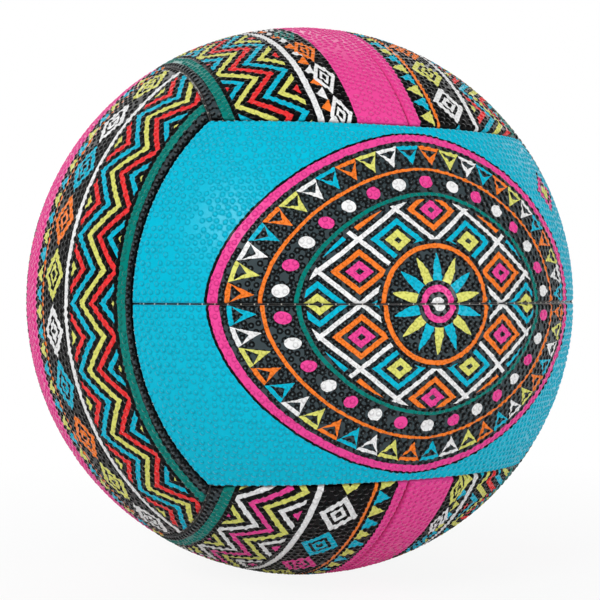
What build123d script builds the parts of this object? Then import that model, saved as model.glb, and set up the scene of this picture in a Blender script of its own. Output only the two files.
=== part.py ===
from build123d import *
import math
import os

# A match netball, size 5: twelve rubber cover panels with cloth linings, stitched together round a bladder.
# The ball's centre is the origin, +Z is up and the front face looks along -Y. Lengths are in millimetres.

# Ball
circumference = 700.0
ball_radius = circumference / (2 * math.pi)
face_half_angle = 34.15

# Cover panels: grippy rubber sheet, with its edges folded inwards at every seam
rubber_thickness = 1.2
fold_depth = 4.2
edge_round = 0.8
seam_slit = 0.5

# Linings: woven cloth plies glued together and bonded inside each panel, up to its folds
lining_thickness = 0.9
ply_clearance = 0.05

# Stitching: flat waxed thread crosses the seams through pricked slots and runs along the folds inside
thread_width = 0.7
thread_thickness = 0.45
run_width = 0.8
stitch_pitch = 4.5
stitch_depth = 3.0
stitch_end_margin = 4.6
slot_clearance = 0.05

# Bladder
bladder_wall = 0.7
bladder_clearance = 0.1

# Valve: a moulded sleeve bonded to the bladder, a plug in it, and a patch under the panel
valve_panel = "back_upper"
valve_elevation = 17.0
valve_port_radius = 4.2
valve_recess = 0.3
sleeve_clearance = 0.1
sleeve_length = 15.0
sleeve_bore_radius = 2.6
sleeve_rim_round = 0.4
sleeve_flange_radius = 9.0
sleeve_flange_thickness = 1.2
air_passage_radius = 1.4
plug_clearance = 0.04
plug_length = 11.5
plug_recess = 0.4
plug_rim_round = 0.3
plug_slit_width = 0.1
needle_port_radius = 1.0
needle_port_depth = 7.0
needle_funnel_radius = 1.7
needle_funnel_depth = 0.7
patch_radius = 12.0
patch_thickness = 0.6

# How closely two lengths agree when they count as the same
same_share = 1e-6

# Worked out from the sizes above
reach = 2 * ball_radius
fold_radius = ball_radius - fold_depth
stitch_radius = ball_radius - stitch_depth
sheet_inner_radius = ball_radius - rubber_thickness
lining_outer_radius = sheet_inner_radius - ply_clearance
lining_inner_radius = lining_outer_radius - lining_thickness
panel_inset = seam_slit / 2
pocket_inset = panel_inset + rubber_thickness
lining_inset = pocket_inset + ply_clearance
thread_run_inset = pocket_inset + slot_clearance + thread_thickness / 2
slot_width = thread_width + 2 * slot_clearance
slot_height = thread_thickness + 2 * slot_clearance
bladder_radius = fold_radius - bladder_clearance
sleeve_radius = valve_port_radius - sleeve_clearance

# Seam layout. The ball is a cube blown up to a sphere. A centre seam splits each of the six faces into two
# panels, and the centre seams of neighbouring faces stand square to each other. Each seam lies on a cone
# with its point at the ball's centre, so a seam is given by the cone's axis, its half angle in degrees and
# the direction of the seam's middle.
UPWARDS = (Align.CENTER, Align.CENTER, Align.MIN)
DOWNWARDS = (Align.CENTER, Align.CENTER, Align.MAX)
CENTRE = Vector(0, 0, 0)
FRONT = Vector(0, -1, 0)
LEFT = Vector(-1, 0, 0)
UP = Vector(0, 0, 1)
face_edge = math.radians(face_half_angle)
cube_corner = (FRONT + LEFT + UP).normalized()
edge_middle = FRONT * math.cos(face_edge) + UP * math.sin(face_edge)
edge_bow = edge_middle - FRONT * cube_corner.dot(FRONT) - UP * cube_corner.dot(UP)
edge_axis = LEFT.cross(edge_bow).normalized()
edge_angle = edge_axis.get_angle(edge_middle)
left_axis = LEFT * edge_axis.dot(FRONT) + FRONT * edge_axis.dot(UP)
left_middle = LEFT * math.cos(face_edge) + FRONT * math.sin(face_edge)
edge_circle_radius = ball_radius * math.sin(math.radians(edge_angle))
edge_half_turn = math.asin(cube_corner.dot(LEFT) * ball_radius / edge_circle_radius)
edge_half_length = edge_circle_radius * edge_half_turn
centre_half_length = ball_radius * (math.pi / 2 - face_edge)
valve_tilt = math.radians(valve_elevation)
valve_direction = UP * math.sin(valve_tilt) - FRONT * math.cos(valve_tilt)
valve_plane = Plane(origin=CENTRE, x_dir=-LEFT, z_dir=valve_direction)
sleeve_rim_plane = valve_plane.offset(ball_radius - valve_recess)
plug_top_plane = sleeve_rim_plane.offset(-plug_recess)


def turned(direction, axis, degrees):
    """The direction turned about an axis through the ball's centre."""
    return direction.rotate(Axis(CENTRE, axis), degrees)


def stitch_distances(first, last):
    """Distances along a seam of evenly spaced stitches, as near the stitch pitch as fits between the two."""
    steps = round((last - first) / stitch_pitch)
    return [first + (last - first) * step / steps for step in range(steps + 1)]


def seam_turn(angle, distance):
    """Degrees about the seam's axis that a distance along the seam takes."""
    return math.degrees(distance / (ball_radius * math.sin(math.radians(angle))))


def stitch_planes(axis, angle, middle, distances):
    """Where stitches cross a seam, at distances along it from its middle. Each plane faces across the seam."""
    planes = []
    for distance in distances:
        outwards = turned(middle, axis, seam_turn(angle, distance))
        along = axis.cross(outwards).normalized()
        place = Plane(origin=outwards * stitch_radius, x_dir=along, z_dir=along.cross(outwards))
        planes.append(place)
    return planes


edge_distances = stitch_distances(stitch_end_margin, edge_half_length - stitch_end_margin)
edge_distances_both = [-distance for distance in reversed(edge_distances)] + edge_distances
centre_half = centre_half_length - stitch_end_margin
centre_distances = stitch_distances(-centre_half, centre_half)


def seam_cone(axis, angle, mode):
    """Everything on the axis's side of a seam."""
    cone_radius = reach * math.tan(math.radians(angle))
    with Locations(Plane(origin=CENTRE, z_dir=axis)):
        Cone(0, cone_radius, reach, align=UPWARDS, mode=mode)


def beyond_left_seam(inset):
    """The space on the left of the front face, from inset inside the face's left seam."""
    with BuildPart() as space:
        Sphere(reach)
        split(bisect_by=Plane.YZ, keep=Keep.BOTTOM)
        seam_cone(left_axis, edge_angle - math.degrees(inset / ball_radius), Mode.SUBTRACT)
    return space.part


def panel_wedge(inset):
    """The space of the front face's upper panel, from the ball's centre out, an inset short of its seams."""
    outside_left = beyond_left_seam(inset)
    with BuildPart() as wedge:
        Sphere(reach)
        split(bisect_by=Plane.XY.offset(inset), keep=Keep.TOP)
        split(bisect_by=Plane.XZ, keep=Keep.TOP)
        seam_cone(edge_axis, edge_angle + math.degrees(inset / ball_radius), Mode.SUBTRACT)
        add(outside_left, mode=Mode.SUBTRACT)
        add(mirror(outside_left, about=Plane.YZ, mode=Mode.PRIVATE), mode=Mode.SUBTRACT)
    return wedge.part


def pocket(radius, inset):
    """The room inside a folded panel: a panel's wedge up to a radius."""
    with BuildPart() as room:
        add(panel_wedge(inset))
        Sphere(radius, mode=Mode.INTERSECT)
    return room.part


def across(direction):
    """The mirror image of a place or direction across the plane between left and right."""
    return Vector(-direction.X, direction.Y, direction.Z)


def panel_stitch_planes():
    """Every place where a stitch passes through the folds of the front face's upper panel."""
    left_distances = [-distance for distance in edge_distances]
    left_planes = stitch_planes(left_axis, edge_angle, left_middle, left_distances)
    right_planes = [
        Plane(origin=across(place.origin), x_dir=across(place.x_dir), z_dir=across(place.z_dir))
        for place in left_planes
    ]
    upper_planes = stitch_planes(edge_axis, edge_angle, edge_middle, edge_distances_both)
    return stitch_planes(UP, 90, FRONT, centre_distances) + upper_planes + left_planes + right_planes


def edges_on_sphere(candidates, radius):
    """The edges that lie on a sphere about the ball's centre."""
    return [
        edge
        for edge in candidates
        if all(math.isclose((edge @ share).length, radius, rel_tol=same_share) for share in (0, 0.5, 1))
    ]


def folded_panel():
    """The front face's upper panel, with its four edges folded inwards, rounded and slotted for thread."""
    inside = pocket(sheet_inner_radius, pocket_inset)
    with BuildPart() as sheet:
        add(pocket(ball_radius, panel_inset))
        Sphere(fold_radius, mode=Mode.SUBTRACT)
        add(inside, mode=Mode.SUBTRACT)
        fillet(edges_on_sphere(sheet.edges(), ball_radius), edge_round)
        with Locations(*panel_stitch_planes()):
            Box(slot_width, slot_height, 2 * thread_run_inset, mode=Mode.SUBTRACT)
    return sheet.part


def bonded_lining():
    """The cloth that backs the front face's upper panel."""
    with BuildPart() as cloth:
        add(pocket(lining_outer_radius, lining_inset))
        Sphere(lining_inner_radius, mode=Mode.SUBTRACT)
    return cloth.part


def thread_run(axis, angle, middle, first, last, side):
    """The thread along one side of a seam, from one stitch to another. Side 1 is away from the axis."""
    start = stitch_planes(axis, angle, middle, [first - run_width])[0]
    run_centre = start.origin + start.z_dir * side * thread_run_inset
    length = last - first + 2 * run_width
    with BuildSketch(Plane(origin=run_centre, x_dir=start.z_dir, z_dir=start.x_dir)) as section:
        Rectangle(thread_thickness, run_width)
    revolve(section.sketch, axis=Axis(CENTRE, axis), revolution_arc=seam_turn(angle, length))


def crossing_threads(planes):
    """The stitches that show in a seam's slit."""
    with Locations(*planes):
        Box(thread_width, thread_thickness, 2 * thread_run_inset)


def centre_stitching():
    """The stitching of the front face's centre seam: threads across it and a run along each side."""
    with BuildPart() as thread:
        for side in (1, -1):
            thread_run(UP, 90, FRONT, centre_distances[0], centre_distances[-1], side)
        crossing_threads(stitch_planes(UP, 90, FRONT, centre_distances))
    return thread.part


def edge_stitching():
    """The stitching between the front and top faces. The top's centre seam parts the run on its side."""
    near = edge_distances[0]
    far = edge_distances[-1]
    with BuildPart() as thread:
        thread_run(edge_axis, edge_angle, edge_middle, -far, far, 1)
        thread_run(edge_axis, edge_angle, edge_middle, -far, -near, -1)
        thread_run(edge_axis, edge_angle, edge_middle, near, far, -1)
        crossing_threads(stitch_planes(edge_axis, edge_angle, edge_middle, edge_distances_both))
    return thread.part


def spherical_disc(outer_radius, thickness, disc_radius, hole_radius):
    """A round pad that follows the ball's curve about the valve axis."""
    with BuildPart() as disc:
        with Locations(valve_plane):
            Cylinder(disc_radius, reach, align=UPWARDS)
            Cylinder(hole_radius, reach, align=UPWARDS, mode=Mode.SUBTRACT)
        Sphere(outer_radius, mode=Mode.INTERSECT)
        Sphere(outer_radius - thickness, mode=Mode.SUBTRACT)
    return disc.part


def write(piece, name):
    """Names a finished piece and writes its file."""
    piece.part.label = name
    export_step(piece.part, f"parts/{name}.step")


os.makedirs("parts", exist_ok=True)

# Cover, linings and stitching. The front face's pieces are made once and turned to their twelve or six places.
panel_master = folded_panel()
lining_master = bonded_lining()
centre_stitching_master = centre_stitching()
edge_stitching_master = edge_stitching()
panel_names = [
    ["front_upper", "front_lower", "back_lower", "back_upper"],
    ["bottom_right", "bottom_left", "top_left", "top_right"],
    ["left_rear", "left_front", "right_front", "right_rear"],
]
edge_names = [
    ["front_top", "front_bottom", "back_bottom", "back_top"],
    ["bottom_right", "bottom_left", "top_left", "top_right"],
    ["left_back", "left_front", "right_front", "right_back"],
]
face_names = [["front", "back"], ["bottom", "top"], ["left", "right"]]
half_turns = [(0, 0, 0), (0, 180, 0), (180, 0, 0), (0, 0, 180)]

for third in range(3):
    third_turn = Location((0, 0, 0), (1, 1, 1), 120 * third)
    for half in range(4):
        turn = third_turn * Location((0, 0, 0), half_turns[half])
        panel_name = panel_names[third][half]
        with BuildPart() as panel:
            with Locations(turn):
                add(panel_master)
            if panel_name == valve_panel:
                with Locations(valve_plane.offset(ball_radius)):
                    Hole(valve_port_radius, depth=2 * fold_depth)
        write(panel, f"{panel_name}_panel")
        with BuildPart() as lining:
            with Locations(turn):
                add(lining_master)
            if panel_name == valve_panel:
                with Locations(valve_plane.offset(ball_radius)):
                    Hole(valve_port_radius, depth=2 * fold_depth)
        write(lining, f"{panel_name}_lining")
        with BuildPart() as edge_thread:
            with Locations(turn):
                add(edge_stitching_master)
        write(edge_thread, f"{edge_names[third][half]}_edge_stitching")
    for face in range(2):
        turn = third_turn * Location((0, 0, 0), half_turns[2 * face])
        with BuildPart() as centre_thread:
            with Locations(turn):
                add(centre_stitching_master)
        write(centre_thread, f"{face_names[third][face]}_centre_stitching")

# The bladder, with a hole for the valve sleeve
with BuildPart() as bladder:
    Sphere(bladder_radius)
    Sphere(bladder_radius - bladder_wall, mode=Mode.SUBTRACT)
    with Locations(valve_plane.offset(ball_radius)):
        Hole(sleeve_radius + ply_clearance, depth=2 * fold_depth)
write(bladder, "bladder")

# The valve's sleeve: a stem through bladder and panel, a flange on the bladder, and a stepped bore
flange_outer_radius = bladder_radius + ply_clearance + sleeve_flange_thickness
flange = spherical_disc(flange_outer_radius, sleeve_flange_thickness, sleeve_flange_radius, sleeve_bore_radius)
with BuildPart() as valve_sleeve:
    with Locations(sleeve_rim_plane):
        Cylinder(sleeve_radius, sleeve_length, align=DOWNWARDS)
    fillet(valve_sleeve.faces().sort_by(Axis(CENTRE, valve_direction))[-1].edges(), sleeve_rim_round)
    add(flange)
    with Locations(sleeve_rim_plane):
        Hole(air_passage_radius, depth=sleeve_length + plug_recess)
        Hole(sleeve_bore_radius, depth=plug_recess + plug_length)
write(valve_sleeve, "valve_sleeve")

# The plug that seals the valve: a funnel and guide hole for the needle, over a closed slit
with BuildPart() as valve_core:
    with Locations(plug_top_plane):
        Cylinder(sleeve_bore_radius - plug_clearance, plug_length, align=DOWNWARDS)
    fillet(valve_core.faces().sort_by(Axis(CENTRE, valve_direction))[-1].edges(), plug_rim_round)
    with Locations(plug_top_plane):
        Hole(needle_port_radius, depth=needle_port_depth)
        Cone(
            needle_port_radius,
            needle_funnel_radius,
            needle_funnel_depth,
            align=DOWNWARDS,
            mode=Mode.SUBTRACT,
        )
    with Locations(plug_top_plane.offset(-plug_length)):
        slit_depth = plug_length - needle_port_depth
        Box(2 * needle_port_radius, plug_slit_width, slit_depth, align=UPWARDS, mode=Mode.SUBTRACT)
write(valve_core, "valve_core")

# The cloth patch under the panel, round the sleeve
with BuildPart() as valve_patch:
    add(spherical_disc(lining_inner_radius - ply_clearance, patch_thickness, patch_radius, valve_port_radius))
write(valve_patch, "valve_patch")
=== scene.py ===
import math
import random

import bpy
import numpy as np
from mathutils import Matrix, Vector
from mathutils.geometry import delaunay_2d_cdt


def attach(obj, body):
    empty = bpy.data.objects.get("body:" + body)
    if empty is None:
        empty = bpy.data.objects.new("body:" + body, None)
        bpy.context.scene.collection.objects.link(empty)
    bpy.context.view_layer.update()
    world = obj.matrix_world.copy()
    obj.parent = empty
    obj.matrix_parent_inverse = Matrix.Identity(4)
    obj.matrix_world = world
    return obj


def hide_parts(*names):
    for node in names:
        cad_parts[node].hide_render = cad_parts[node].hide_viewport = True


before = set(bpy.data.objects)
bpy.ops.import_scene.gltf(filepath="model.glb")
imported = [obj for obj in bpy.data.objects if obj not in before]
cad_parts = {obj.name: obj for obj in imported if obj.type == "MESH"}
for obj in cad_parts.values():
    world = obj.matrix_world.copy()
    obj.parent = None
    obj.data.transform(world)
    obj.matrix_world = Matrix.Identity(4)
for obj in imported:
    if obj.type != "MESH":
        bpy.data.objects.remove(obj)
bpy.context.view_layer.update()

# The stitched, pimpled cover of a netball, dressed over its solids. Lengths are in metres.
MM = 0.001
TINY = 1e-12
SAME_POINT = 1e-9

# Ball and seam layout, as the solids have them
CIRCUMFERENCE = 700 * MM
BALL = CIRCUMFERENCE / (2 * math.pi)
QUARTER = math.pi / 2
FACE_HALF_ANGLE = math.radians(34.15)
FOLD_DEPTH = 4.2 * MM
RUBBER = 1.2 * MM
SLIT = 0.5 * MM
STITCH_DEPTH = 3.0 * MM
STITCH_PITCH = 4.5 * MM
STITCH_MARGIN = 4.6 * MM
THREAD_RUN_INSET = 1.72 * MM
VALVE_PANEL = "back_upper"
VALVE_ELEVATION = math.radians(17)
VALVE_PORT = 4.2 * MM

# Cover surface
EDGE_ROUND = 1.0 * MM
PORT_ROUND = 0.4 * MM
ROLL_STEPS = 4
SEAM_DIP = 0.2 * MM
SEAM_DIP_REACH = 2.2 * MM
OUTLINE_STEP = 0.75 * MM
INNER_STEP = 5 * MM
PORT_POINTS = 56
PORT_HOLE_SHARE = 0.98
HOLD_ROUNDS = 8
CORNER_ROUNDS = 40

# Pimples, in rows that are strayed and then eased apart. PIMPLE_ROLL is how far round the rolled edge
# they begin, in radians
PIMPLE_RADIUS = 1.0 * MM
PIMPLE_HEIGHT = 0.45 * MM
PIMPLE_SIZE_SHARES = (0.95, 1.03)
PIMPLE_HEIGHT_SHARES = (0.85, 1.1)
PIMPLE_PITCH = 2.75 * MM
PIMPLE_ROW_SHARE = math.sqrt(0.75)
PIMPLE_STRAY = 0.75 * MM
PIMPLE_LEAST_SHARE = 0.55
PIMPLE_EASED = 2.55 * MM
PIMPLE_EASINGS = 20
PIMPLE_PUSH_PARTS = 3
PIMPLE_TOLERANCE = 0.01 * MM
PIMPLE_ROLL = 0.75
PLACE_SEED = 7
SIZE_SEED = 11
# A pimple's profile: for each ring, how far out it lies, how high it stands, how steeply it falls
# there, its mark, which paints shade on its sides and foot, and how many points it has
PIMPLE_RING_SHARES = [
    (0.36, 0.94, 0.5, 0.1, 5),
    (0.62, 0.76, 1.5, 0.4, 8),
    (0.81, 0.45, 2.5, 1.0, 10),
    (0.97, 0.1, 2.3, 1.0, 10),
    (1.12, 0.0, 0.0, 0.0, 10),
]
PIMPLE_FOOT = PIMPLE_RADIUS * PIMPLE_RING_SHARES[-1][0]

# Marks carried by the cover's points. One over nought darkens the print as painted shade, and one under it
# paints a pale highlight on dark ink, and where it passes BARE_FROM the rubber is bare. TOP_MARK is the
# highlight on the pimples' tops and SEAM_MARK the shade on the edges rolled into the seams
TOP_MARK = -1.0
SEAM_MARK = 0.8
BARE_MARK = 2.0
BARE_FROM = 1.7

# Threads that show in the seams
THREAD = 0.2 * MM
THREAD_TOP_DEPTH = 0.95 * MM
THREAD_SIDES = 8
RUN_POINTS = 160
LOOP_POINTS = 13
LOOP_FULLNESS = 1.5

# Where the parts of a panel lie on its bake map, as shares of the map, and the angles that it spans
MAP_EDGE = 0.004
MAP_OUTSIDE_ROWS = (0.004, 0.80)
MAP_WALL_ROWS = (0.81, 0.855)
MAP_PORT_ROWS = (0.875, 0.895)
MAP_INSIDE_ROWS = (0.90, 0.996)
MAP_SPARE = 0.02
LON_SPAN = QUARTER - FACE_HALF_ANGLE + MAP_SPARE
LAT_SPAN = FACE_HALF_ANGLE + 2 * MAP_SPARE

# Noises, each as its scale and its detail
NOISE_MIDDLE = 0.5
BLOTCHES = (180.0, 2.0)
GRIME = (2600.0, 2.0)
SKIN_GRAIN = (5200.0, 3.0)
BLOOM = (220.0, 3.0)
MOULD_GRAIN = (3800.0, 3.0)
THREAD_FUZZ = (9000.0, 2.0)
CLOTH_FUZZ = (1500.0, 3.0)
WAVER = (0.15, 1.0)

# Prints
WAVER_REACH = 0.6
MEDALLION_SHIFT = 0.35
# The foot gain and grey below are painted shade on the pimples' sides and feet, and on the rolled seam
# edges
FOOT_SHADE_GAIN = 2.5
FOOT_GREY = (0.02, 0.02, 0.02, 1)

# Studio, with lamps as name, place, width and power
FLOOR_SIZE = 60
FLOOR_PARTS = 8
FLOOR_COLOUR = (0.86, 0.86, 0.86, 1)
FLOOR_ROUGHNESS = 0.9
FLOOR_GLOW = 0.9
FLOOR_FADE_FROM = 0.11
FLOOR_FADE_TO = 0.35
AMBIENT = 0.38
STUDIO_DARK = 0.06
BACKDROP_FROM = 0.36
BACKDROP_FADE = 0.25
LAMPS = [
    ("key_lamp", (-0.975, -0.732, 0.7), 0.5, 9.8),
    ("fill_lamp", (0.75, -1.2, 0.05), 0.3, 6.0),
    ("back_lamp", (0.62, 1.35, 0.5), 2.0, 8.0),
    ("rear_lamp", (-0.9, 1.1, 1.0), 2.0, 6.0),
]

# The camera of the photograph
IMAGE_PIXELS = 600
FOCAL_PIXELS = 1211.4
BALL_CENTRE_PIXELS = (299.8, 301.0)
SENSOR = 36.0
NEAREST_SEEN = 0.01
CAMERA_TURN = math.radians(24.77)
CAMERA_RISE = math.radians(0.57)
CAMERA_DISTANCE = 4.555 * BALL

FRONT = np.array([0.0, -1.0, 0.0])
RIGHT = np.array([1.0, 0.0, 0.0])
UP = np.array([0.0, 0.0, 1.0])


def unit(v):
    return v / np.linalg.norm(v, axis=-1, keepdims=True)


def square_to(axis, v):
    """The direction of v's part that is square to an axis."""
    return unit(v - axis * v.dot(axis))


# Each seam lies on a cone about an axis through the ball's centre
corner = unit(FRONT - RIGHT + UP)
edge_middle = FRONT * math.cos(FACE_HALF_ANGLE) + UP * math.sin(FACE_HALF_ANGLE)
bow = edge_middle - FRONT * corner.dot(FRONT) - UP * corner.dot(UP)
edge_axis = unit(np.cross(-RIGHT, bow))
edge_angle = math.acos(edge_axis.dot(edge_middle))
tilt = edge_axis.dot(FRONT)
rise = edge_axis.dot(UP)
side_axis = [side * RIGHT * tilt + FRONT * rise for side in (-1, 1)]
valve_axis = FRONT * math.cos(VALVE_ELEVATION) + UP * math.sin(VALVE_ELEVATION)
to_edge = square_to(edge_axis, edge_middle)
edge_half_turn = math.acos(np.clip(square_to(edge_axis, corner).dot(to_edge), -1, 1))
edge_half_length = edge_half_turn * math.sin(edge_angle) * BALL
centre_half_length = (QUARTER - FACE_HALF_ANGLE) * BALL


def on_ball(plane):
    """Directions from the ball's centre, from the front face's own longitudes and latitudes."""
    lon, lat = plane[..., :1], plane[..., 1:]
    return np.cos(lat) * (np.cos(lon) * FRONT + np.sin(lon) * RIGHT) + np.sin(lat) * UP


def lonlat(p):
    return np.stack([np.arctan2(p @ RIGHT, p @ FRONT), np.arcsin(np.clip(p @ UP, -1, 1))], -1)


def seam_distances(p, port):
    """How far directions lie inside each edge of the front's upper panel, and the way that grows.

    An end's cone comes round the other side of the panel too, where it counts as far away."""
    cones = [(UP, QUARTER, -1, None), (edge_axis, edge_angle, 1, None)]
    cones += [(axis, edge_angle, -1, side) for axis, side in zip(side_axis, (-1, 1))]
    if port:
        cones.append((valve_axis, VALVE_PORT / BALL, 1, None))
    found = []
    for axis, angle, sign, side in cones:
        along = np.clip(p @ axis, -1, 1)
        grows = -sign * unit(axis - along[:, None] * p + TINY)
        distance = sign * (np.arccos(along) - angle) * BALL
        if side:
            distance = np.where(p @ RIGHT * side > 0, distance, BALL)
        found.append((distance, grows))
    return found


def held_at(p, wanted, port):
    """Directions moved until they lie as far inside each edge as wanted; not a number leaves one free."""
    for _ in range(HOLD_ROUNDS):
        for k, target in enumerate(wanted):
            distance, grows = seam_distances(p, port)[k]
            step = np.where(np.isnan(target), 0.0, target - distance)
            p = unit(p + grows * (step / BALL)[:, None])
    return p


def sheet_starts(port):
    """Where the flat pattern begins at each edge, so that its roll ends on the seam's wall."""
    starts = [SLIT / 2 - (QUARTER - 1) * EDGE_ROUND] * 4
    return starts + [-(QUARTER - 1) * PORT_ROUND] * port


def rolled(p, height, port):
    """Places and normals of the cover for directions p of the flat pattern, edges rolled down."""
    rounds = [EDGE_ROUND] * 4 + [PORT_ROUND] * port
    walls = [SLIT / 2] * 4 + [0.0] * port
    edges = seam_distances(p, port)
    along = np.array([d - start for (d, _), start in zip(edges, sheet_starts(port))])
    wanted = []
    for d, r, wall in zip(along, rounds, walls):
        turned = np.clip(1 - d / (QUARTER * r), 0, 1) * QUARTER
        wanted.append(np.where(turned > 0, wall + r * (1 - np.sin(turned)), np.nan))
    where = held_at(p, wanted, port)
    nearest = along.argmin(axis=0)
    pick = np.arange(len(p))
    r = np.array(rounds)[nearest]
    d = np.maximum(along[nearest, pick], 0)
    grows = np.array([g for _, g in seam_distances(where, port)])[nearest, pick]
    turned = np.clip(1 - d / (QUARTER * r), 0, 1) * QUARTER
    dip = np.where(nearest < 4, SEAM_DIP * np.exp(-d / SEAM_DIP_REACH), 0.0)
    depth = r * (1 - np.cos(turned)) + dip
    normal = unit(np.cos(turned)[:, None] * where - np.sin(turned)[:, None] * grows)
    return where * (BALL - depth)[:, None] + normal * height[:, None], normal


def outline(inset):
    """The panel's outline as longitudes and latitudes, an inset inside its seams.

    Every inset gives as many points, in the same order, so that outlines can be joined into strips."""
    a = inset / BALL
    lean = math.atan2(tilt, rise)

    def top(lon):
        flat = tilt * np.cos(lon)
        return np.arcsin(math.cos(edge_angle + a) / np.hypot(flat, rise)) - np.arctan2(flat, rise)

    def side(lat):
        return lean + np.arccos(math.cos(edge_angle - a) / np.cos(lat))

    lon_corner = QUARTER / 2
    for _ in range(CORNER_ROUNDS):
        lon_corner = float(side(top(lon_corner)))
    lat_corner = float(top(lon_corner))
    lengths = (2 * centre_half_length, FACE_HALF_ANGLE * BALL, 2 * edge_half_length)
    share = [np.linspace(0, 1, round(length / OUTLINE_STEP), endpoint=False) for length in lengths]
    up_side = a + (lat_corner - a) * share[1]
    across = lon_corner * (1 - 2 * share[2])
    down_side = lat_corner + (a - lat_corner) * share[1]
    return np.concatenate([
        np.stack([float(side(a)) * (2 * share[0] - 1), np.full(len(share[0]), a)], 1),
        np.stack([side(up_side), up_side], 1),
        np.stack([across, top(across)], 1),
        np.stack([-side(down_side), down_side], 1),
    ])


def circle_about(direction, radius, count, turn=0.0):
    """A circle on the ball about a direction, as directions."""
    east = unit(np.cross(UP, direction))
    north = np.cross(direction, east)
    angles = np.arange(count) * 2 * math.pi / count + turn
    ring = np.cos(angles)[:, None] * east + np.sin(angles)[:, None] * north
    return math.cos(radius / BALL) * direction + math.sin(radius / BALL) * ring


def spaced(p, least):
    """The directions, in order, that lie at least so far from all those kept before them."""
    limit = math.cos(least / BALL)
    kept = []
    for k, near in enumerate(p @ p.T > limit):
        if not near[kept].any():
            kept.append(k)
    return p[kept]


def lies_inside(p, clear, port):
    """Which directions lie further inside each edge than the distance given for it."""
    return np.all([d > least for (d, _), least in zip(seam_distances(p, port), clear)], axis=0)


def strayed_rows(first_latitude):
    """Directions of rows across the panel, every other row half a step on, each strayed a little."""
    dice = random.Random(PLACE_SEED)
    stray = PIMPLE_STRAY / BALL
    row_pitch = PIMPLE_PITCH * PIMPLE_ROW_SHARE / BALL
    rows = []
    for k, lat in enumerate(np.arange(first_latitude + row_pitch, LAT_SPAN, row_pitch)):
        step = PIMPLE_PITCH / BALL / math.cos(lat)
        for lon in np.arange(-LON_SPAN + k % 2 * step / 2, LON_SPAN, step):
            rows.append((lon + dice.uniform(-stray, stray), lat + dice.uniform(-stray, stray)))
    return on_ball(np.array(rows))


def pimple_centres(port):
    """Directions of a row along the seams and of rows across the panel, eased apart."""
    widest = PIMPLE_FOOT * PIMPLE_SIZE_SHARES[1]
    to_seam = sheet_starts(port)[0] + PIMPLE_ROLL * EDGE_ROUND + widest
    clear = [to_seam] * 4 + [PORT_ROUND + widest] * port
    seam_row = spaced(on_ball(outline(to_seam)), PIMPLE_PITCH)
    rows = strayed_rows(to_seam / BALL)
    p = np.concatenate([seam_row, rows[lies_inside(rows, clear, port)]])
    p = spaced(p, PIMPLE_PITCH * PIMPLE_LEAST_SHARE)
    for _ in range(PIMPLE_EASINGS):
        first, second = np.nonzero(np.triu(p @ p.T > math.cos(PIMPLE_EASED / BALL), 1))
        gap = p[first] - p[second]
        apart = np.linalg.norm(gap, axis=1, keepdims=True)
        push = gap * (PIMPLE_EASED / BALL / apart - 1) / PIMPLE_PUSH_PARTS
        np.add.at(p, first, push)
        np.add.at(p, second, -push)
        p = unit(p)
        for least, (distance, grows) in zip(clear, seam_distances(p, port)):
            p = p + grows * (np.maximum(least - distance, 0) / BALL)[:, None]
        p = unit(p)
    inside = lies_inside(p, [least - PIMPLE_TOLERANCE for least in clear], port)
    return spaced(p[inside], 2 * widest)


def clear_of_pimples(ring, centres):
    """The directions of a ring that no pimple's foot covers."""
    limit = math.cos((PIMPLE_FOOT + OUTLINE_STEP / 4) / BALL)
    return ring[(ring @ centres.T).max(axis=1) < limit]


class Sheet:
    """Vertices, faces and maps of one cover panel, gathered part by part."""

    def __init__(self):
        self.places = []
        self.normals = []
        self.prints = []
        self.count = 0
        self.faces = []
        self.maps = []

    def points(self, places, normals, prints):
        """Adds vertices and gives back their numbers."""
        numbers = np.arange(self.count, self.count + len(places))
        self.places.append(places)
        self.normals.append(normals)
        self.prints.append(prints)
        self.count += len(places)
        return numbers

    def triangles(self, faces, maps):
        self.faces.append(faces)
        self.maps.append(maps)

    def strip(self, ring_a, ring_b, row_a, row_b):
        """Joins two closed rings of as many points, mapped to a strip between two rows."""
        n = len(ring_a)
        across = MAP_EDGE + (1 - 2 * MAP_EDGE) * np.arange(n + 1) / n
        a, b = across[:-1], across[1:]
        numbers = np.stack([ring_a, ring_b, np.roll(ring_b, -1), np.roll(ring_a, -1)], 1)
        corners = ((a, row_a), (a, row_b), (b, row_b), (b, row_a))
        maps = np.stack([np.column_stack([u, np.full(n, row)]) for u, row in corners], 1)
        for half in ([0, 1, 2], [0, 2, 3]):
            self.triangles(numbers[:, half], maps[:, half])


def map_points(plane, rows):
    across = 0.5 + (0.5 - MAP_EDGE) * plane[:, 0] / LON_SPAN
    up = rows[0] + (rows[1] - rows[0]) * (plane[:, 1] + MAP_SPARE) / LAT_SPAN
    return np.stack([across, up], 1)


def triangulated(plane, loops, port_hole):
    """Triangles over points of the flat pattern, held to their loops, with the valve's hole left open."""
    edges = [(loop[i - 1], loop[i]) for loop in loops for i in range(len(loop))]
    got = delaunay_2d_cdt([Vector(q) for q in plane.tolist()], edges, [], 1, SAME_POINT)
    if len(got[0]) != len(plane):
        raise RuntimeError("two points of the flat pattern fell together")
    faces = np.array(got[2], dtype=np.int64)
    if port_hole:
        middle = unit(on_ball(plane)[faces].mean(axis=1))
        faces = faces[middle @ valve_axis < math.cos(port_hole / BALL)]
    return faces


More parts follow.
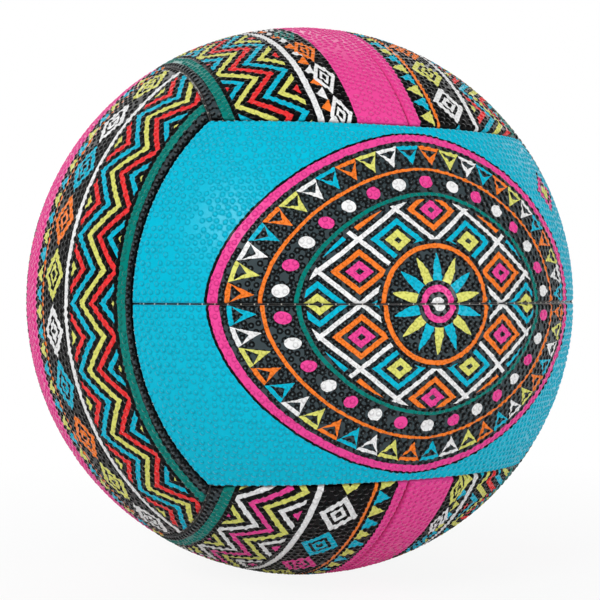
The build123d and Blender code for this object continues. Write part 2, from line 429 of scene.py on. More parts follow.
def edge_rings(centres, port):
    """Directions round the rolled edges with their marks, and the loops that the triangles hold to."""
    starts = sheet_starts(port)
    rolls = [k / (ROLL_STEPS - 1) * QUARTER for k in range(ROLL_STEPS)]
    rings = []
    held = []
    for roll in rolls:
        ring = on_ball(outline(starts[0] + roll * EDGE_ROUND))
        held.append(roll < PIMPLE_ROLL)
        rings.append(ring if held[-1] else clear_of_pimples(ring, centres))
    if port:
        for roll in rolls:
            rings.append(circle_about(valve_axis, VALVE_PORT + starts[4] + roll * PORT_ROUND, PORT_POINTS))
            held.append(True)
    # These marks paint shade on the rolled edges, darkest next to the seam
    marks = [np.full(len(ring), SEAM_MARK * (1 - roll / QUARTER)) for ring, roll in zip(rings, rolls * 2)]
    ends = np.cumsum([len(ring) for ring in rings])
    loops = [range(end - len(ring), end) for ring, end, hold in zip(rings, ends, held) if hold]
    return np.concatenate(rings), np.concatenate(marks), loops


def pimple_points(centres):
    """Directions, heights, slopes and marks of each pimple's top and of the rings about it."""
    dice = random.Random(SIZE_SEED)
    found = []
    for centre in centres:
        size = dice.uniform(*PIMPLE_SIZE_SHARES)
        tall = dice.uniform(*PIMPLE_HEIGHT_SHARES) * PIMPLE_HEIGHT
        found.append((centre[None], np.array([tall]), np.zeros((1, 3)), np.full(1, TOP_MARK)))
        for out, up, steep, mark, around in PIMPLE_RING_SHARES:
            ring = circle_about(centre, out * size * PIMPLE_RADIUS, around, dice.uniform(0, 1))
            slope = unit(ring - centre) * steep * tall / PIMPLE_RADIUS
            found.append((ring, np.full(around, up * tall), slope, np.full(around, mark)))
    return [np.concatenate(parts) for parts in zip(*found)]


def panel_sheet(port):
    """The front's upper panel as one closed skin: pimpled outside, seam walls, folds and inside."""
    sheet = Sheet()
    centres = pimple_centres(port)
    edges, edge_marks, loops = edge_rings(centres, port)
    pimples, heights, slopes, pimple_marks = pimple_points(centres)
    directions = np.concatenate([edges, pimples])
    plane = lonlat(directions)
    port_hole = (VALVE_PORT + sheet_starts(port)[4]) * PORT_HOLE_SHARE if port else 0
    faces = triangulated(plane, loops, port_hole)
    places, normals = rolled(directions, np.concatenate([np.zeros(len(edges)), heights]), port)
    normals = unit(normals + np.concatenate([np.zeros((len(edges), 3)), slopes]))
    prints = np.column_stack([plane * BALL / MM, np.concatenate([edge_marks, pimple_marks])])
    outside = sheet.points(places, normals, prints)
    sheet.triangles(outside[faces], map_points(plane, MAP_OUTSIDE_ROWS)[faces])
    rim = list(loops[0])
    under_fold = outline(SLIT / 2 + RUBBER)
    close_seams(sheet, places[rim], prints[rim], on_ball(under_fold))
    close_inside(sheet, under_fold, port)
    return sheet


def close_seams(sheet, rim_places, rim_prints, under):
    """Carries the outside's rim down the seam's wall, under the fold and up behind it."""
    rim = unit(rim_places)
    distances = seam_distances(rim, False)
    nearest = np.array([d for d, _ in distances]).argmin(axis=0)
    inward = np.array([g for _, g in distances])[nearest, np.arange(len(rim))]
    # The wall's top keeps the rim's marks, painted shade, and below it the rubber is bare
    bare = np.column_stack([rim_prints[:, :2], np.full(len(rim), BARE_MARK)])
    foot = BALL - FOLD_DEPTH
    bands = [
        ((rim_places, -inward, rim_prints), (rim * foot, -inward, bare)),
        ((rim * foot, -rim, bare), (under * foot, -under, bare)),
        ((under * foot, inward, bare), (under * (BALL - RUBBER), inward, bare)),
    ]
    rows = np.linspace(*MAP_WALL_ROWS, len(bands) + 1)
    for k, (near, far) in enumerate(bands):
        near_ring = sheet.points(*near)
        sheet.strip(sheet.points(*far), near_ring, rows[k + 1], rows[k])


def close_inside(sheet, under_fold, port):
    """Lays the panel's inside up to the fold, and the wall of the valve's hole."""
    plane = [under_fold]
    rim_count = len(under_fold)
    loops = [range(rim_count)]
    if port:
        plane.append(lonlat(circle_about(valve_axis, VALVE_PORT, PORT_POINTS)))
        loops.append(range(rim_count, rim_count + PORT_POINTS))
    step = INNER_STEP / BALL
    filling = np.stack(np.meshgrid(np.arange(-LON_SPAN, LON_SPAN, step), np.arange(0, LAT_SPAN, step)), -1)
    filling = on_ball(filling.reshape(-1, 2))
    gap = INNER_STEP / 3
    inside = lies_inside(filling, [SLIT / 2 + RUBBER + gap] * 4 + [gap] * port, port)
    plane = np.concatenate([*plane, lonlat(filling[inside])])
    faces = triangulated(plane, loops, VALVE_PORT * PORT_HOLE_SHARE if port else 0)[:, ::-1]
    directions = on_ball(plane)
    bare = np.column_stack([plane * BALL / MM, np.full(len(plane), BARE_MARK)])
    inner = sheet.points(directions * (BALL - RUBBER), -directions, bare)
    sheet.triangles(inner[faces], map_points(plane, MAP_INSIDE_ROWS)[faces])
    if port:
        wall = list(loops[1])
        ring = directions[wall]
        out_way = -seam_distances(ring, True)[4][1]
        top = sheet.points(ring * (BALL - PORT_ROUND), out_way, bare[wall])
        bottom = sheet.points(ring * (BALL - RUBBER), out_way, bare[wall])
        sheet.strip(top, bottom, *MAP_PORT_ROWS)


def sheet_mesh(name, sheet):
    """A Blender mesh from a sheet, faces turned to agree with their normals."""
    parts = (sheet.places, sheet.normals, sheet.prints, sheet.faces, sheet.maps)
    places, normals, prints, faces, maps = (np.concatenate(part) for part in parts)
    a, b, c = (places[faces[:, k]] for k in range(3))
    flip = np.einsum("ij,ij->i", np.cross(b - a, c - a), normals[faces].sum(axis=1)) < 0
    faces[flip] = faces[flip][:, ::-1]
    maps[flip] = maps[flip][:, ::-1]
    mesh = bpy.data.meshes.new(name)
    mesh.vertices.add(len(places))
    mesh.vertices.foreach_set("co", places.ravel())
    mesh.loops.add(faces.size)
    mesh.loops.foreach_set("vertex_index", faces.ravel())
    mesh.polygons.add(len(faces))
    mesh.polygons.foreach_set("loop_start", np.arange(len(faces)) * 3)
    mesh.polygons.foreach_set("use_smooth", np.ones(len(faces), dtype=bool))
    mesh.uv_layers.new(name="OFBake").data.foreach_set("uv", maps.ravel())
    mesh.attributes.new("print", "FLOAT_VECTOR", "POINT").data.foreach_set("vector", prints.ravel())
    mesh.update(calc_edges=True)
    mesh.validate()
    mesh.normals_split_custom_set_from_vertices(normals.tolist())
    return mesh


# Threads


def seam_frame(seam, distance):
    """A point of a seam, the way along it and the way across it, at a distance from its middle.

    A seam is its cone's axis and half angle, and the way from the axis to the seam's middle."""
    axis, angle, zero = seam
    turn = distance / (math.sin(angle) * BALL)
    side = np.cross(axis, zero)
    out = math.cos(turn) * zero + math.sin(turn) * side
    point = math.cos(angle) * axis + math.sin(angle) * out
    along = -math.sin(turn) * zero + math.cos(turn) * side
    return point, along, np.cross(point, along)


def tube(path, ups):
    """A closed round thread along a path: its vertices, its faces and the places along and round it."""
    path = np.array(path)
    way = unit(np.gradient(path, axis=0))
    side = unit(np.cross(way, ups))
    up = np.cross(side, way)
    angles = np.arange(THREAD_SIDES) * 2 * math.pi / THREAD_SIDES
    normals = np.cos(angles)[None, :, None] * side[:, None] + np.sin(angles)[None, :, None] * up[:, None]
    places = path[:, None] + normals * THREAD
    faces = []
    for i in range(len(path) - 1):
        for j in range(THREAD_SIDES):
            k = (j + 1) % THREAD_SIDES
            a, b = i * THREAD_SIDES, (i + 1) * THREAD_SIDES
            faces.append((a + j, a + k, b + k, b + j))
    faces.append(tuple(reversed(range(THREAD_SIDES))))
    last = (len(path) - 1) * THREAD_SIDES
    faces.append(tuple(range(last, last + THREAD_SIDES)))
    length = np.concatenate([[0], np.cumsum(np.linalg.norm(np.diff(path, axis=0), axis=1))])
    lie = np.stack(np.broadcast_arrays(length[:, None], angles[None, :] * THREAD), -1)
    return places.reshape(-1, 3), faces, lie.reshape(-1, 2)


def fold_run(seam, distances, side):
    """The run of thread along the fold to one side of a seam."""
    path = []
    ups = []
    for distance in np.linspace(distances[0], distances[-1], RUN_POINTS):
        point, _, across = seam_frame(seam, distance)
        path.append(unit(point + across * side * THREAD_RUN_INSET / BALL) * (BALL - STITCH_DEPTH))
        ups.append(point)
    return tube(path, ups)


def stitch_loop(seam, distance):
    """One stitch, a loop of thread over the seam from fold to fold."""
    point, along, across = seam_frame(seam, distance)
    climb = STITCH_DEPTH - THREAD_TOP_DEPTH - THREAD
    path = []
    for share in np.linspace(-1, 1, LOOP_POINTS):
        lift = climb * math.cos(share * QUARTER) ** LOOP_FULLNESS
        lean = along * (share * THREAD / BALL)
        direction = unit(point + across * share * THREAD_RUN_INSET / BALL + lean)
        path.append(direction * (BALL - STITCH_DEPTH + lift))
    return tube(path, [along] * LOOP_POINTS)


def seam_threads(name, seam, distances):
    """The stitching of one seam: a run along each fold and a loop over the seam at every stitch."""
    pieces = [fold_run(seam, distances, side) for side in (-1, 1)]
    pieces += [stitch_loop(seam, distance) for distance in distances]
    places, faces, lies = zip(*pieces)
    firsts = np.cumsum([0] + [len(own) for own in places]).tolist()
    faces = [tuple(v + first for v in face) for first, own in zip(firsts, faces) for face in own]
    mesh = bpy.data.meshes.new(name)
    mesh.from_pydata(np.concatenate(places).tolist(), [], faces)
    mesh.polygons.foreach_set("use_smooth", [len(face) == 4 for face in faces])
    lies = np.column_stack([np.concatenate(lies) / MM, np.zeros(firsts[-1])])
    mesh.attributes.new("thread", "FLOAT_VECTOR", "POINT").data.foreach_set("vector", lies.ravel())
    mesh.update()
    return mesh


def stitches_between(first, last):
    """Stitch places from one distance along a seam to another, evenly spaced near the pitch."""
    room = last - first
    count = round(room / STITCH_PITCH)
    return [first + room * i / count for i in range(count + 1)]


# Materials


def linear(red, green, blue):
    """A printed colour, given as it looks on a screen."""
    shares = [c / 255 for c in (red, green, blue)]
    return tuple(s / 12.92 if s <= 0.04045 else ((s + 0.055) / 1.055) ** 2.4 for s in shares) + (1.0,)


TURQUOISE = linear(0, 184, 213)
PINK = linear(237, 72, 153)
YELLOW = linear(222, 222, 114)
RED = linear(238, 56, 58)
ORANGE = linear(248, 128, 48)
TEAL = linear(0, 126, 116)
WHITE = linear(240, 240, 240)
INK = linear(9, 10, 11)
SLATE_INK = linear(58, 69, 73)
# The two pale inks below are painted highlights on the pimples' tops, over the dark inks
SLATE_HIGHLIGHT = linear(112, 122, 124)
INK_HIGHLIGHT = linear(50, 52, 54)
BARE_RUBBER = linear(22, 23, 24)
THREAD_COLOUR = linear(236, 233, 224)


def feed(tree, slot, value):
    """Gives a node's slot a field, another node's socket or a plain value."""
    if isinstance(value, Field):
        value = value.socket
    if isinstance(value, bpy.types.NodeSocket):
        tree.links.new(value, slot)
    else:
        slot.default_value = value


class Field:
    """A number that varies over a surface, worked out by a material's math nodes."""

    def __init__(self, tree, socket):
        self.tree = tree
        self.socket = socket

    def math(self, operation, *others):
        node = self.tree.nodes.new("ShaderNodeMath")
        node.operation = operation
        for slot, value in zip(node.inputs, (self, *others)):
            feed(self.tree, slot, value)
        return Field(self.tree, node.outputs[0])

    def __add__(self, other):
        return self.math("ADD", other)

    def __sub__(self, other):
        return self.math("SUBTRACT", other)

    def __mul__(self, other):
        return self.math("MULTIPLY", other)

    def __truediv__(self, other):
        return self.math("DIVIDE", other)

    def __pow__(self, other):
        return self.math("POWER", other)

    def __abs__(self):
        return self.math("ABSOLUTE")

    def left(self):
        """What is left of one."""
        return self * -1 + 1

    def at_least(self, other):
        return self.math("MAXIMUM", other)

    def clamped(self):
        return self.at_least(0).math("MINIMUM", 1)

    def over(self, other):
        return self.math("GREATER_THAN", other)

    def under(self, other):
        return self.math("LESS_THAN", other)

    def wrapped(self, pitch):
        return self.math("FLOORED_MODULO", pitch)

    def from_middle(self, pitch):
        """Distance from the middle of the repeat that a place lies in."""
        return abs(self.wrapped(pitch) - pitch / 2)

    def between(self, low, high):
        return self.math("COMPARE", (low + high) / 2, (high - low) / 2)


def mixed(tree, share, first, second, blend="MIX"):
    """The colour of two colours blended by a share."""
    node = tree.nodes.new("ShaderNodeMix")
    node.data_type = "RGBA"
    node.blend_type = blend
    node.clamp_result = blend == "SUBTRACT"
    feed(tree, node.inputs[0], share)
    feed(tree, node.inputs[6], first)
    feed(tree, node.inputs[7], second)
    return node.outputs[2]


class Paint:
    """A colour built up in layers of print, each laid where a mask is one."""

    def __init__(self, tree, ground):
        self.tree = tree
        self.colour = ground

    def lay(self, mask, colour):
        self.colour = mixed(self.tree, mask, self.colour, colour)

    def lay_by_turns(self, mask, place, pitch, colours):
        """Lays the colours by turns on the repeats of a pattern along a place."""
        which = place.wrapped(len(colours) * pitch)
        for k, colour in enumerate(colours):
            self.lay(mask * which.between(k * pitch, (k + 1) * pitch), colour)


def turn_of(x, y):
    """The share of a whole turn that a place lies round the origin."""
    return y.math("ARCTAN2", x) / (2 * math.pi)


def carried(tree, name):
    """The vector that a surface's points carry under a name."""
    node = tree.nodes.new("ShaderNodeAttribute")
    node.attribute_name = name
    return node.outputs["Vector"]


def object_places(tree):
    return tree.nodes.new("ShaderNodeTexCoord").outputs["Object"]


def parts_of(tree, vector):
    """A vector's three numbers."""
    split = tree.nodes.new("ShaderNodeSeparateXYZ")
    tree.links.new(vector, split.inputs[0])
    return [Field(tree, socket) for socket in split.outputs]


def noise_node(tree, places, scale, detail):
    node = tree.nodes.new("ShaderNodeTexNoise")
    node.inputs["Scale"].default_value = scale
    node.inputs["Detail"].default_value = detail
    tree.links.new(places, node.inputs["Vector"])
    return node


def print_places(tree, sign, shift):
    """Wavering places along and across in millimetres, the mark, and the places without the waver."""
    places = carried(tree, "print")
    along, across, mark = parts_of(tree, places)
    waver = parts_of(tree, noise_node(tree, places, *WAVER).outputs["Color"])
    wander = [(swing - NOISE_MIDDLE) * WAVER_REACH for swing in waver[:2]]
    return along * sign + wander[0] + shift, across * sign + wander[1], mark, along, across


def ink_with_painted_light(tree, mark, ink, highlight):
    """Dark ink with painted shade, black on the pimples' sides and feet, and a painted highlight, pale on
    their tops.
    """
    paint = Paint(tree, ink)
    paint.lay((mark * FOOT_SHADE_GAIN).clamped(), INK)
    paint.lay((mark * -1).at_least(0), highlight)
    return paint.colour


# Sizes in the prints are millimetres on the ball, counted from the middle of a face


def lay_ground(paint, along, across):
    """The turquoise field, which stops short of the panel's edges at a dark line."""
    half_length, height = 108.1, 65.9
    end_squareness, side_squareness = 40, 30
    bow, bow_length = 1.6, 100
    lift = (along / bow_length) ** 2 * bow
    level = (abs(along) / half_length) ** end_squareness + ((across - lift) / height) ** side_squareness
    paint.lay(level.under(1), TURQUOISE)


def lay_border(paint, x, y, slate):
    """The medallion's field in its border; gives how deep places lie inside it and which way round."""
    half_width, half_height, bulge, depth = 79, 61.5, 1.75, 68
    line, border = 0.9, 3.1
    reach = ((abs(x) / half_width) ** bulge + (abs(y) / half_height) ** bulge) ** (1 / bulge)
    inward = reach.left() * depth
    paint.lay(inward.over(-line), INK)
    paint.lay(inward.over(0), slate)
    paint.lay(inward.between(0, border), PINK)
    return inward, turn_of(x / half_width, y / half_height)


def lay_teeth(paint, inward, turn, slate):
    """A ring of open triangles that point inward, in four colours, and a line inside them."""
    count, base, tip, taper = 48, 5.2, 13.6, 8.6
    hole_base, hole_tip, hole_width, hole_taper = 6.7, 10.2, 1.15, 2.1
    line = (15.0, 16.2)
    place = turn * count
    sideways = place.from_middle(1) * 2
    depth = (inward - base) / taper
    triangle = sideways.under(depth.left()) * inward.between(base, tip)
    paint.lay_by_turns(triangle, place, 1, (TURQUOISE, WHITE, YELLOW, ORANGE))
    paint.lay(sideways.under(depth * -hole_taper + hole_width) * inward.between(hole_base, hole_tip), slate)
    paint.lay(inward.between(*line), ORANGE)


def lay_beads(paint, inward, turn):
    """A ring of dots in two colours, and a line inside them."""
    count, pitch, depth, radius = 30, 10.5, 20.9, 2.5
    line = (25.2, 26.6)
    place = turn * count
    sideways = place.from_middle(1) * pitch
    bead = (sideways * sideways + (inward - depth) ** 2).under(radius ** 2)
    paint.lay_by_turns(bead, place, 1, (WHITE, PINK))
    paint.lay(inward.between(*line), TEAL)


def lay_lozenges(paint, inward, x, y, slate):
    """Nested lozenges of two kinds by turns, parted by white lines."""
    depth, column, row = 28, 28, 21.5
    eye, heart, ring, line = 0.11, 0.34, (0.5, 0.7), 0.91
    inside = inward.over(depth)
    level = x.from_middle(column) / (column / 2) + (y + row / 2).from_middle(row) / (row / 2)
    odd = level.over(1)
    level = level.math("PINGPONG", 1.0)
    for kind, heart_colour, ring_colour in ((odd, PINK, ORANGE), (odd.left(), YELLOW, TURQUOISE)):
        paint.lay(inside * level.under(heart) * kind, heart_colour)
        paint.lay(inside * level.between(*ring) * kind, ring_colour)
    paint.lay(inside * level.over(line), WHITE)
    paint.lay(inside * level.under(eye), slate)


def lay_rays(paint, x, y, slate):
    """A disc of rays in two colours by turns, about a ringed dot."""
    count, disc, rim = 14, 22, (19, 20.6)
    root, taper, reach = 7.5, 0.1, (8, 17.2)
    ring, dot = (4.2, 6.4), 2.4
    radius = (x * x + y * y) ** 0.5
    paint.lay(radius.under(disc), slate)
    paint.lay(radius.between(*rim), ORANGE)
    place = turn_of(x, y) * count
    ray = (place.from_middle(1) * 2).under((radius - root) * -taper + 1) * radius.between(*reach)
    paint.lay_by_turns(ray, place, 1, (YELLOW, TURQUOISE))
    paint.lay(radius.between(*ring), PINK)
    paint.lay(radius.under(dot), WHITE)


def lay_small_lozenge(paint, x, y, slate):
    """A small nested lozenge beside the medallion."""
    right, up, half_width, half_height = 79, 43, 9.5, 7.5
    level = abs(x - right) / half_width + abs(y - up) / half_height
    for share, colour in ((1.14, slate), (1, PINK), (0.7, slate), (0.45, YELLOW)):
        paint.lay(level.under(share), colour)


def medallion_print(tree, sign):
    """Turquoise ground with a bordered medallion of common geometric figures, one half to a panel."""
    x, y, mark, along, across = print_places(tree, sign, MEDALLION_SHIFT * sign)
    slate = ink_with_painted_light(tree, mark, SLATE_INK, SLATE_HIGHLIGHT)
    paint = Paint(tree, INK)
    lay_ground(paint, along, across)
    inward, turn = lay_border(paint, x, y, slate)
    lay_teeth(paint, inward, turn, slate)
    lay_beads(paint, inward, turn)
    lay_lozenges(paint, inward, x, y, slate)
    lay_rays(paint, x, y, slate)
    lay_small_lozenge(paint, x, y, slate)
    return paint.colour, mark


def lay_saw(paint, x, y, tip, base, colours):
    """A row of small triangles in two colours by turns."""
    pitch = 7.2
    sideways = x.from_middle(pitch) / (pitch / 2)
    row = sideways.under((y - tip) / (base - tip)) * y.between(*sorted((tip, base)))
    paint.lay_by_turns(row, x, pitch, colours)


def lay_lozenge_row(paint, x, y, middle, half_height, colours):
    """A row of nested lozenges in four colours by turns."""
    pitch = 21.0
    eye, gap, rim = 0.2, (0.42, 0.62), 0.96
    level = x.from_middle(pitch) / (pitch / 2) + abs(y - middle) / half_height
    paint.lay_by_turns(level.under(rim), x, pitch, colours)
    paint.lay(level.between(*gap), INK)
    paint.lay(level.under(eye), INK)


def lay_zigzags(paint, x, y, sign, colours):
    """A band of zigzag strokes in three colours by turns."""
    band, pitch, half_stroke = (35.2, 58.8), 5.6, 1.35
    zigzag, steepness = 26.0, 0.85
    level = y + x.from_middle(zigzag) * steepness * sign
    stroke = level.from_middle(pitch).under(half_stroke) * y.between(*band)
    paint.lay_by_turns(stroke, level, pitch, colours)


# The two layouts of bands, by sign: where the pink ends, where the saw's teeth have their tips and
# their bases, and the middle and half height of the lozenges
BAND_LAYOUTS = {1: (4.4, 5.2, 10.8, 22.0, 7.6), -1: (19.6, 30.4, 27.0, 24.6, 4.2)}


def band_print(tree, sign, strokes, figures, shift):
    """Black ground with bands of common geometric figures that run along the centre seam."""
    orange_line, white_line, teal_line, slate_from = (12.0, 13.2), (31.0, 33.2), (60.4, 64.0), 64.2
    pink_end, saw_tip, saw_base, middle, half_height = BAND_LAYOUTS[sign]
    x, y, mark, _, across = print_places(tree, 1, shift)
    paint = Paint(tree, ink_with_painted_light(tree, mark, INK, INK_HIGHLIGHT))
    paint.lay(across.over(slate_from), ink_with_painted_light(tree, mark, SLATE_INK, SLATE_HIGHLIGHT))
    paint.lay(y.under(pink_end), PINK)
    if sign > 0:
        paint.lay(y.between(*orange_line), ORANGE)
    lay_saw(paint, x, y, saw_tip, saw_base, (figures[1], figures[0]))
    lay_lozenge_row(paint, x, y, middle, half_height, (WHITE, figures[0], figures[2], figures[1]))
    paint.lay(y.between(*white_line), WHITE)
    lay_zigzags(paint, x, y, sign, strokes)
    paint.lay(y.between(*teal_line), TEAL)
    return paint.colour, mark


def new_material(name):
    material = bpy.data.materials.new(name)
    material.use_nodes = True
    tree = material.node_tree
    return material, tree, tree.nodes["Principled BSDF"]


def noise(tree, scale, detail):
    """A noise over the object's own places that swings about nought."""
    node = noise_node(tree, object_places(tree), scale, detail)
    return Field(tree, node.outputs["Fac"]) - NOISE_MIDDLE


def bumped(tree, shader, height, distance, strength=1.0):
    node = tree.nodes.new("ShaderNodeBump")
    node.inputs["Distance"].default_value = distance
    node.inputs["Strength"].default_value = strength
    tree.links.new(height.socket, node.inputs["Height"])
    tree.links.new(node.outputs[0], shader.inputs["Normal"])


def shaded(tree, colour, tone):
    """A colour times a tone."""
    return mixed(tree, 1.0, colour, tone, "MULTIPLY")


def cover_material(name, make_print, *details):
    """Printed rubber: ink over the pimples, with painted shade round each foot and on the edges rolled into
    the seams, bare rubber in the seams.
    """
    roughness, specular, sheen, sheen_roughness = 0.26, 0.1, 0.55, 0.25
    foot_fall, foot_shade, foot_roughness = 1.5, 0.26, 0.2
    blotch_shade, blotch_roughness, grime_shade = 0.07, 0.1, 0.1
    depth, strength = 0.02 * MM, 0.5
    material, tree, shader = new_material(name)
    colour, mark = make_print(tree, *details)
    bare = mark.over(BARE_FROM)
    colour = mixed(tree, bare, colour, BARE_RUBBER)
    blotch = noise(tree, *BLOTCHES)
    grime = noise(tree, *GRIME)
    # Painted shade: the marks darken the print and take grey from it on the pimples' sides and feet and on
    # the rolled seam edges
    foot = mark.at_least(0) ** foot_fall * bare.left()
    tone = foot * -foot_shade + 1 - blotch * blotch_shade - grime * grime_shade
    colour = mixed(tree, foot, shaded(tree, colour, tone), FOOT_GREY, "SUBTRACT")
    tree.links.new(colour, shader.inputs["Base Color"])
    rough = foot * foot_roughness + roughness + blotch * blotch_roughness
    tree.links.new(rough.socket, shader.inputs["Roughness"])
    shader.inputs["Specular IOR Level"].default_value = specular
    shader.inputs["Sheen Weight"].default_value = sheen
    shader.inputs["Sheen Roughness"].default_value = sheen_roughness
    bumped(tree, shader, noise(tree, *SKIN_GRAIN), depth, strength)
    return material


def thread_material():
    """Bonded thread of twisted strands, from the places along and round it."""
    pitch, lean, strand_shade, fuzz_shade, darkest = 0.5, 1.1, 0.3, 0.2, 0.75
    roughness, sheen, depth = 0.62, 0.3, 0.06 * MM
    material, tree, shader = new_material("bonded polyester thread")
    length, round_place, _ = parts_of(tree, carried(tree, "thread"))
    strand = (length + round_place * lean).from_middle(pitch) / (pitch / 2)
    tone = strand * strand_shade + darkest + noise(tree, *THREAD_FUZZ) * fuzz_shade
    tree.links.new(shaded(tree, THREAD_COLOUR, tone), shader.inputs["Base Color"])
    shader.inputs["Roughness"].default_value = roughness
    shader.inputs["Sheen Weight"].default_value = sheen
    bumped(tree, shader, strand, depth)
    return material


def rubber_material(name, colour, roughness):
    """Moulded rubber with a fine skin and a faint bloom."""
    bloom_shade, grain_shade, bloom_roughness, depth, strength = 0.3, 0.2, 0.15, 0.03 * MM, 0.6
    material, tree, shader = new_material(name)
    bloom = noise(tree, *BLOOM)
    grain = noise(tree, *MOULD_GRAIN)
    tone = bloom * bloom_shade + 1 + grain * grain_shade
    tree.links.new(shaded(tree, colour, tone), shader.inputs["Base Color"])
    tree.links.new((bloom * bloom_roughness + roughness).socket, shader.inputs["Roughness"])
    bumped(tree, shader, grain, depth, strength)
    return material


def cloth_material(name, colour, thread_pitch):
    """Plain-woven cloth, over and under, from the object's own places."""
    slant, weave_shade, fuzz_shade, darkest = 0.37, 0.3, 0.2, 0.8
    roughness, sheen, depth = 0.85, 0.2, thread_pitch / 5
    material, tree, shader = new_material(name)
    x, y, z = parts_of(tree, object_places(tree))
    warp = (x + y).from_middle(2 * thread_pitch) / thread_pitch
    weft = (z + x * slant).from_middle(2 * thread_pitch) / thread_pitch
    weave = warp * weft + warp.left() * weft.left()
    tone = weave * weave_shade + darkest + noise(tree, *CLOTH_FUZZ) * fuzz_shade
    tree.links.new(shaded(tree, colour, tone), shader.inputs["Base Color"])
    shader.inputs["Roughness"].default_value = roughness
    shader.inputs["Sheen Weight"].default_value = sheen
    bumped(tree, shader, weave, depth)
    return material


# The prints of the four faces at the sides, top and bottom, as name, layout, colours of the strokes,
# colours of the figures and shift along the centre seam
BAND_PRINTS = [
    ("band print a", 1, (YELLOW, RED, TURQUOISE), (TURQUOISE, YELLOW, ORANGE), 0.0),
    ("band print b", -1, (YELLOW, RED, TURQUOISE), (TURQUOISE, YELLOW, ORANGE), 6.0),
    ("band print c", 1, (PINK, WHITE, YELLOW), (YELLOW, TURQUOISE, PINK), 3.0),
    ("band print d", -1, (TURQUOISE, RED, YELLOW), (ORANGE, WHITE, TEAL), 9.0),
]

# The pieces in the order that the ball's turns carry the front's own ones to them, third by third
PANEL_NAMES = [
    ["front_upper", "front_lower", "back_lower", "back_upper"],
    ["bottom_right", "bottom_left", "top_left", "top_right"],
    ["left_rear", "left_front", "right_front", "right_rear"],
]
EDGE_NAMES = [
    ["front_top", "front_bottom", "back_bottom", "back_top"],
    ["bottom_right", "bottom_left", "top_left", "top_right"],
    ["left_back", "left_front", "right_front", "right_back"],
]
FACE_NAMES = [["front", "back"], ["bottom", "top"], ["left", "right"]]
HALF_TURN_AXES = [None, "Y", "X", "Z"]


def ball_turn(third, half):
    """One of the twelve turns that carry the ball's seams onto themselves."""
    turn = Matrix.Rotation(math.radians(120 * third), 4, Vector((1, 1, 1)))
    if HALF_TURN_AXES[half]:
        turn = turn @ Matrix.Rotation(math.pi, 4, HALF_TURN_AXES[half])
    return turn


def dress(name, mesh, turn, node, material):
    """A copy of a mesh, carried to its place by a turn, that stands for a node of the ball."""
    mesh = mesh.copy()
    mesh.transform(turn)
    piece = bpy.data.objects.new(name, mesh)
    bpy.context.scene.collection.objects.link(piece)
    mesh.materials.append(material)
    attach(piece, "ball")
    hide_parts(node)


def make_cover():
    """The twelve panels: the front's upper one, carried round by the ball's own turns."""
    plain = sheet_mesh("cover_panel", panel_sheet(False))
    with_port = sheet_mesh("valve_panel", panel_sheet(True))
    medallions = {
        "upper": cover_material("turquoise print upper", medallion_print, 1),
        "lower": cover_material("turquoise print lower", medallion_print, -1),
    }
    bands = [cover_material(name, band_print, *details) for name, *details in BAND_PRINTS]
    for third, names in enumerate(PANEL_NAMES):
        for half, name in enumerate(names):
            mesh = with_port if name == VALVE_PANEL else plain
            if third == 0:
                material = medallions[name.split("_")[1]]
            else:
                material = bands[(half + 2 * third - 1) % len(bands)]
            dress(f"{name}_cover", mesh, ball_turn(third, half), f"{name}_panel", material)


def make_stitching():
    """The threads of the twelve edge seams and the six centre seams."""
    material = thread_material()
    one_side = stitches_between(STITCH_MARGIN, edge_half_length - STITCH_MARGIN)
    edge_stitches = [-d for d in reversed(one_side)] + one_side
    centre_reach = centre_half_length - STITCH_MARGIN
    centre_stitches = stitches_between(-centre_reach, centre_reach)
    edge_mesh = seam_threads("edge_threads", (edge_axis, edge_angle, to_edge), edge_stitches)
    centre_mesh = seam_threads("centre_threads", (UP, QUARTER, FRONT), centre_stitches)
    for third in range(3):
        seams = [(name, "edge", half, edge_mesh) for half, name in enumerate(EDGE_NAMES[third])]
        seams += [(name, "centre", 2 * face, centre_mesh) for face, name in enumerate(FACE_NAMES[third])]
        for name, kind, half, mesh in seams:
            node = f"{name}_{kind}_stitching"
            dress(f"{name}_{kind}_threads", mesh, ball_turn(third, half), node, material)


def finish_nodes():
    """Gives the solids that keep their shape a finish, by the last word of their names."""
    finishes = {
        "lining": cloth_material("lining cloth", linear(214, 208, 192), thread_pitch=0.35 * MM),
        "patch": cloth_material("patch cloth", linear(120, 118, 112), thread_pitch=0.45 * MM),
        "bladder": rubber_material("butyl bladder", linear(34, 34, 36), roughness=0.5),
        "sleeve": rubber_material("valve sleeve rubber", linear(20, 20, 21), roughness=0.48),
        "core": rubber_material("valve plug rubber", linear(26, 26, 27), roughness=0.55),
    }
    for name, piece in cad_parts.items():
        material = finishes.get(name.split("_")[-1])
        if material:
            piece.data.materials.clear()
            piece.data.materials.append(material)


def light_rays(tree):
    """Whether light is on its way to the camera, to a glossy surface or through a clear one."""
    path = tree.nodes.new("ShaderNodeLightPath")
    return [Field(tree, path.outputs[f"Is {kind} Ray"]) for kind in ("Camera", "Glossy", "Transmission")]


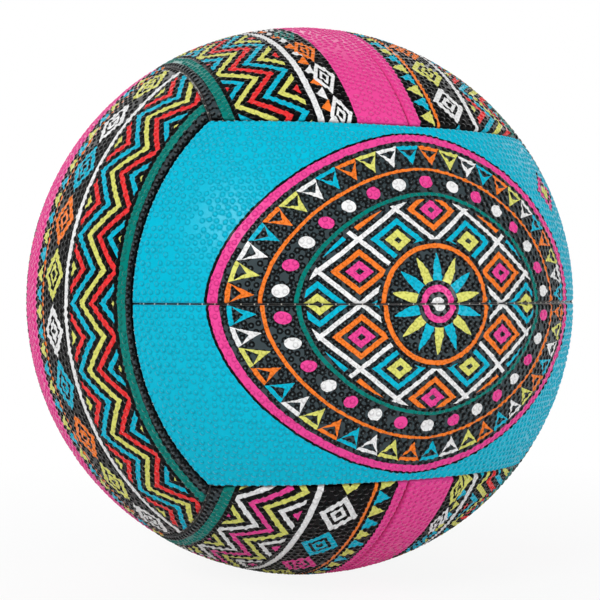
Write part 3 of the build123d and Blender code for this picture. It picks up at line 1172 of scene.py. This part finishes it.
def make_floor():
    """A floor that shows white but keeps the ball's shadow, and is mirrored white only further off."""
    bpy.ops.mesh.primitive_grid_add(
        x_subdivisions=FLOOR_PARTS, y_subdivisions=FLOOR_PARTS, size=FLOOR_SIZE,
        location=(0, 0, -BALL - PIMPLE_HEIGHT),
    )
    floor = bpy.context.active_object
    floor.name = "studio_floor"
    material, tree, shader = new_material("studio floor")
    shader.inputs["Base Color"].default_value = FLOOR_COLOUR
    shader.inputs["Roughness"].default_value = FLOOR_ROUGHNESS
    glow = tree.nodes.new("ShaderNodeEmission")
    to_camera, to_glossy, through = light_rays(tree)
    x, y, _ = parts_of(tree, object_places(tree))
    away = (((x * x + y * y) ** 0.5 - FLOOR_FADE_FROM) / (FLOOR_FADE_TO - FLOOR_FADE_FROM)).clamped()
    seen = to_camera.at_least(through) * (away * (1 - FLOOR_GLOW) + FLOOR_GLOW)
    seen = seen.at_least(to_glossy * away)
    mix = tree.nodes.new("ShaderNodeMixShader")
    for slot, socket in zip(mix.inputs, (seen.socket, shader.outputs[0], glow.outputs[0])):
        tree.links.new(socket, slot)
    tree.links.new(mix.outputs[0], tree.nodes["Material Output"].inputs["Surface"])
    floor.data.materials.append(material)


def make_world():
    """White surroundings, soft as light and mirrored only where they lie behind the ball."""
    world = bpy.data.worlds.new("studio")
    bpy.context.scene.world = world
    world.use_nodes = True
    tree = world.node_tree
    background = tree.nodes["Background"]
    to_camera, to_glossy, through = light_rays(tree)
    way = tree.nodes.new("ShaderNodeVectorMath")
    way.operation = "DOT_PRODUCT"
    tree.links.new(tree.nodes.new("ShaderNodeTexCoord").outputs["Generated"], way.inputs[0])
    way.inputs[1].default_value = (math.sin(CAMERA_TURN), math.cos(CAMERA_TURN), 0)
    backdrop = ((Field(tree, way.outputs["Value"]) - BACKDROP_FROM) / BACKDROP_FADE).clamped()
    mirrored = backdrop * (1 - STUDIO_DARK) + STUDIO_DARK
    seen = to_camera.at_least(to_glossy).at_least(through)
    level = to_camera.at_least(to_glossy * mirrored)
    level = level.at_least(seen.left() * AMBIENT).at_least(through)
    background.inputs["Color"].default_value = (1, 1, 1, 1)
    tree.links.new(level.socket, background.inputs["Strength"])


def aimed(name, data, place):
    """A lamp or camera at a place, turned to face the ball's centre."""
    holder = bpy.data.objects.new(name, data)
    holder.location = place
    holder.rotation_euler = (-Vector(place)).to_track_quat("-Z", "Y").to_euler()
    bpy.context.scene.collection.objects.link(holder)
    return holder


def make_lamps():
    for name, place, size, power in LAMPS:
        lamp = bpy.data.lights.new(name, "AREA")
        lamp.shape = "DISK"
        lamp.size = size
        lamp.energy = power
        aimed(name, lamp, place)


def make_camera():
    camera = bpy.data.cameras.new("photo_camera")
    camera.sensor_width = SENSOR
    camera.lens = FOCAL_PIXELS / IMAGE_PIXELS * SENSOR
    camera.shift_x = (IMAGE_PIXELS / 2 - BALL_CENTRE_PIXELS[0]) / IMAGE_PIXELS
    camera.shift_y = (BALL_CENTRE_PIXELS[1] - IMAGE_PIXELS / 2) / IMAGE_PIXELS
    camera.clip_start = NEAREST_SEEN
    flat = math.cos(CAMERA_RISE) * CAMERA_DISTANCE
    height = math.sin(CAMERA_RISE) * CAMERA_DISTANCE
    place = (-math.sin(CAMERA_TURN) * flat, -math.cos(CAMERA_TURN) * flat, height)
    bpy.context.scene.camera = aimed("photo_camera", camera, place)


def make_studio():
    """Floor, white surroundings, soft lamps and the photograph's camera."""
    bpy.context.scene.view_settings.view_transform = "Standard"
    make_floor()
    make_world()
    make_lamps()
    make_camera()


make_cover()
make_stitching()
finish_nodes()
make_studio()
